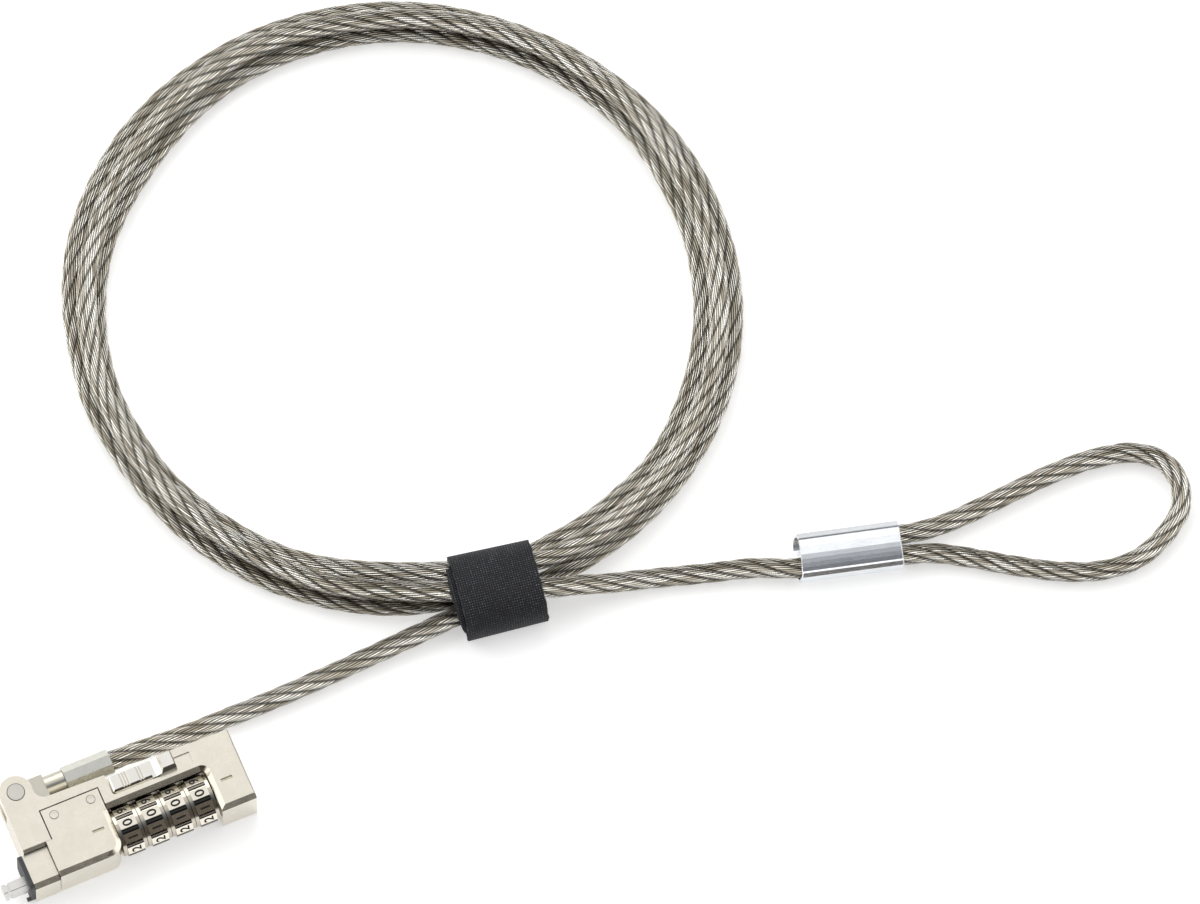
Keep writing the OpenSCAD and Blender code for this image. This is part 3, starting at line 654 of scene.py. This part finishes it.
MATERIALS = {
    "satin_nickel": case_metal("satin_nickel", (0.77, 0.725, 0.63)),
    "plate_nickel": case_metal("plate_nickel", (0.75, 0.705, 0.61)),
    "bright_nickel": metal("bright_nickel", (0.82, 0.80, 0.75), 0.12, mottle=0.4),
    "dial_nickel": dial_metal(),
    "brass": metal("brass", (0.80, 0.64, 0.34), 0.3),
    "steel": metal("steel", (0.68, 0.67, 0.64), 0.3, (1, 6, 6)),
    "dark_steel": metal("dark_steel", (0.22, 0.21, 0.20), 0.4),
    "spring_steel": metal("spring_steel", (0.58, 0.57, 0.55), 0.3),
    "anchor_steel": metal("anchor_steel", (0.55, 0.53, 0.46), 0.30, (1, 6, 6)),
}


def rubber():
    n = Nodes("gasket_rubber")
    n.set(Roughness=0.6)
    fine = n.noise(n.coords(), 4, 5, 0.6)
    n.join(n.ramp(fine, [(0.3, (0.028, 0.031, 0.033)), (0.7, (0.060, 0.064, 0.068))]),
           n.bsdf.inputs["Base Color"])
    n.join(n.bump(fine, 0.03), n.bsdf.inputs["Normal"])
    return n.mat


MATERIALS["gasket_rubber"] = rubber()
FINISHES = {"cable_ferrule": metal("ferrule_steel", (0.72, 0.71, 0.65), 0.28, (1, 6, 6)),
            "pivot_pin": metal("pin_steel", (0.58, 0.56, 0.52), 0.33, (1, 1, 6)),
            "cover_rivets": metal("rivet_nickel", (0.72, 0.68, 0.60), 0.33)}
SLOTS = {s["node"]: s["material_slot"] for s in frame["record"]["subparts"]}
EDGES = {"housing": 0.14, "base_plate": 0.2, "head_cover": 0.12, "lock_head": 0.14,
         "thumb_slide": 0.12, "cable_ferrule": 0.12, "cable_anchor": 0.2, "pivot_pin": 0.1,
         "fixed_tip": 0.12, "tip_latch": 0.12, "nose_gasket": 0.15, "cover_rivets": 0.08}

for name, obj in frame["nodes"].items():
    if SLOTS[name] not in MATERIALS:
        continue
    finish = FINISHES.get(name) or MATERIALS[SLOTS[name]]
    for k in range(max(1, len(obj.material_slots))):
        if obj.material_slots:
            obj.material_slots[k].material = finish
        else:
            obj.data.materials.append(finish)
    if name in EDGES:
        bevel = obj.modifiers.new("edge", "BEVEL")
        bevel.width = EDGES[name] * MM
        bevel.segments = 2
        bevel.limit_method = "ANGLE"
        bevel.angle_limit = math.radians(32)
        bevel.use_clamp_overlap = True


# ---- the numbers on the dials ----

def ink():
    n = Nodes("digit_ink")
    n.set(Roughness=0.6)
    n.bsdf.inputs["Specular IOR Level"].default_value = 0.15
    fine = n.noise(n.coords(), 6, 3, 0.6)
    n.join(n.ramp(fine, [(0.3, (0.010, 0.010, 0.011)), (0.7, (0.028, 0.027, 0.026))]),
           n.bsdf.inputs["Base Color"])
    return n.mat


black = ink()


def digit_mesh(text, size):
    """The flat mesh of one number, its middle at the origin, in millimetres."""
    curve = bpy.data.curves.new("digit", "FONT")
    curve.body = text
    curve.size = size
    curve.align_x = "CENTER"
    curve.align_y = "CENTER"
    curve.offset = 0.055
    curve.resolution_u = 3
    obj = link(bpy.data.objects.new("digit", curve))
    bpy.context.view_layer.update()
    mesh = bpy.data.meshes.new_from_object(obj)
    bpy.data.objects.remove(obj)
    xs = [v.co.x for v in mesh.vertices]
    ys = [v.co.y for v in mesh.vertices]
    mid = Vector(((min(xs) + max(xs)) / 2, (min(ys) + max(ys)) / 2, 0))
    verts = [v.co - mid for v in mesh.vertices]
    faces = [tuple(p.vertices) for p in mesh.polygons]
    bpy.data.meshes.remove(mesh)
    return verts, faces


PAD_DROP, INK_RAISE = 0.12, 0.04
DIGITS = [digit_mesh(str(k), 3.7) for k in range(10)]
for i in range(4):
    verts, faces = [], []
    middle = Vector((-1.85 + DIAL_PITCH * i + 6.15 / 2, DIAL_Y, DIAL_Z))
    for k in range(10):
        turn = Matrix.Rotation(math.radians(36 * k), 3, "X")
        base = len(verts)
        for v in DIGITS[k][0]:
            # the tops of the numbers point to -X
            flat = Vector((-v.y * 0.92, v.x, DIAL_R - PAD_DROP + INK_RAISE))
            verts.append(middle + turn @ flat)
        faces += [tuple(base + j for j in f) for f in DIGITS[k][1]]
    digits = mesh_object(f"digits_{i + 1}", verts, faces, black)
    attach(digits, f"wheel_{i + 1}")


# ---- floor and light ----

def floor_material():
    n = Nodes("floor_white")
    n.set(Roughness=0.9)
    soft = n.noise(n.coords(), 0.02, 2)
    n.join(n.ramp(soft, [(0, 0.78), (1, 0.80)]), n.bsdf.inputs["Base Color"])
    n.bsdf.inputs["Emission Color"].default_value = (1, 1, 1, 1)
    n.bsdf.inputs["Emission Strength"].default_value = 0.45
    return n.mat


FLOOR_HALF, FLOOR_Z = 3000, -0.01
floor = mesh_object("floor", [(x * FLOOR_HALF, y * FLOOR_HALF, FLOOR_Z)
                              for x, y in ((-1, -1), (1, -1), (1, 1), (-1, 1))],
                    [(0, 1, 2, 3)], floor_material())


def world_light():
    """White overhead and behind, dark low in front, white to the left and right."""
    world = bpy.data.worlds.new("studio")
    bpy.context.scene.world = world
    world.use_nodes = True
    tree = world.node_tree
    background = tree.nodes["Background"]

    def maths(op, a, b):
        node = tree.nodes.new("ShaderNodeMath")
        node.operation = op
        for value, socket in zip((a, b), node.inputs):
            if isinstance(value, bpy.types.NodeSocket):
                tree.links.new(value, socket)
            else:
                socket.default_value = value
        return node.outputs[0]

    def ramp(fac, stops):
        node = tree.nodes.new("ShaderNodeValToRGB")
        while len(node.color_ramp.elements) < len(stops):
            node.color_ramp.elements.new(0.5)
        for element, (at, colour) in zip(node.color_ramp.elements, stops):
            element.position = at
            element.color = (*colour, 1)
        tree.links.new(fac, node.inputs["Fac"])
        return node.outputs["Color"]

    def mix(fac, a, b):
        node = tree.nodes.new("ShaderNodeMix")
        node.data_type = "RGBA"
        tree.links.new(fac, node.inputs[0])
        tree.links.new(a, node.inputs[6])
        if isinstance(b, bpy.types.NodeSocket):
            tree.links.new(b, node.inputs[7])
        else:
            node.inputs[7].default_value = (*b, 1)
        return node.outputs[2]

    at = tree.nodes.new("ShaderNodeTexCoord")
    split = tree.nodes.new("ShaderNodeSeparateXYZ")
    tree.links.new(at.outputs["Generated"], split.inputs[0])
    x, y, z = split.outputs
    c, s = math.cos(math.radians(AZIMUTH)), math.sin(math.radians(AZIMUTH))
    front = maths("SUBTRACT", maths("MULTIPLY", y, -c), maths("MULTIPLY", x, s))
    right = maths("SUBTRACT", maths("MULTIPLY", x, c), maths("MULTIPLY", y, s))
    # half a turn from the front horizon (0) over the top (0.5) to the back horizon (1)
    over = maths("DIVIDE", maths("ARCTAN2", z, front), math.pi)
    arch = ramp(over, [(0.0, (0.30, 0.27, 0.23)), (0.04, (0.035, 0.027, 0.020)),
                       (0.13, (0.040, 0.032, 0.024)), (0.19, (0.11, 0.093, 0.073)),
                       (0.29, (0.10, 0.088, 0.075)), (0.40, (0.17, 0.185, 0.21)),
                       (0.46, (0.30, 0.32, 0.35)), (0.50, (0.64, 0.66, 0.68)),
                       (0.55, (1.0, 1.0, 1.0)), (0.90, (1.0, 1.0, 1.0)),
                       (0.98, (0.62, 0.62, 0.60))])
    side = ramp(maths("ABSOLUTE", right, 0), [(0.50, (0, 0, 0)), (0.74, (1, 1, 1))])
    sky = mix(side, arch, (1.45, 1.45, 1.43))
    shown = tree.nodes.new("ShaderNodeLightPath")
    tree.links.new(mix(shown.outputs["Is Camera Ray"], sky, (1.0, 1.0, 1.0)),
                   background.inputs["Color"])
    background.inputs["Strength"].default_value = 1.0


def softbox(name, heading, height, distance, size, power):
    """A square area light that faces the middle of the object."""
    data = bpy.data.lights.new(name, "AREA")
    data.shape = "SQUARE"
    data.size = size
    data.energy = power
    obj = link(bpy.data.objects.new(name, data))
    obj.location = look_from(TARGET, heading, height, distance)
    obj.rotation_euler = (Vector(TARGET) - obj.location).to_track_quat("-Z", "Y").to_euler()


world_light()
softbox("light_back", 196, 40, 1.4, 1.2, 6)
softbox("light_left", 130, 42, 1.2, 0.6, 2)

bpy.context.scene.view_settings.view_transform = "Standard"
